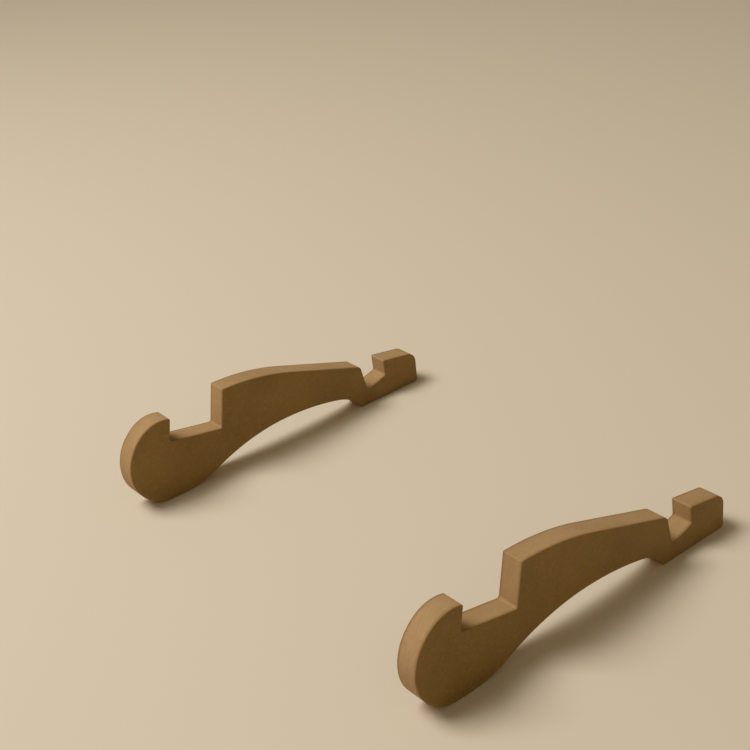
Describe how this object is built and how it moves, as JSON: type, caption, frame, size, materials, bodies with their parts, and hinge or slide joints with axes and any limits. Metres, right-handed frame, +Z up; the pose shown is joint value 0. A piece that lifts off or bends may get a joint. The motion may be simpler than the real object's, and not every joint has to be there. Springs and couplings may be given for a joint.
{
  "type": "tabletop easel",
  "caption": "Pair of loose board supports on edge, each with a hooked slot and a tail notch, that hold a stretched canvas leaning back on a table.",
  "frame": {"origin": "on the table, in the middle of the footprint of the two supports", "axes": "+X to the right along the canvas, +Y to the back so that the canvas faces -Y, +Z up"},
  "size_m": [0.295, 0.2398, 0.0609],
  "materials": {
    "mdf": "natural MDF, sanded faces and eased edges, no coating"
  },
  "bodies": {
    "left": {"left_support": "mdf"},
    "right": {"right_support": "mdf"}
  },
  "joints": [
    {"name": "spacing_slide", "type": "slide", "parent": "left", "child": "right", "axis": [1, 0, 0], "range_m": [-0.24, 0.22]}
  ]
}
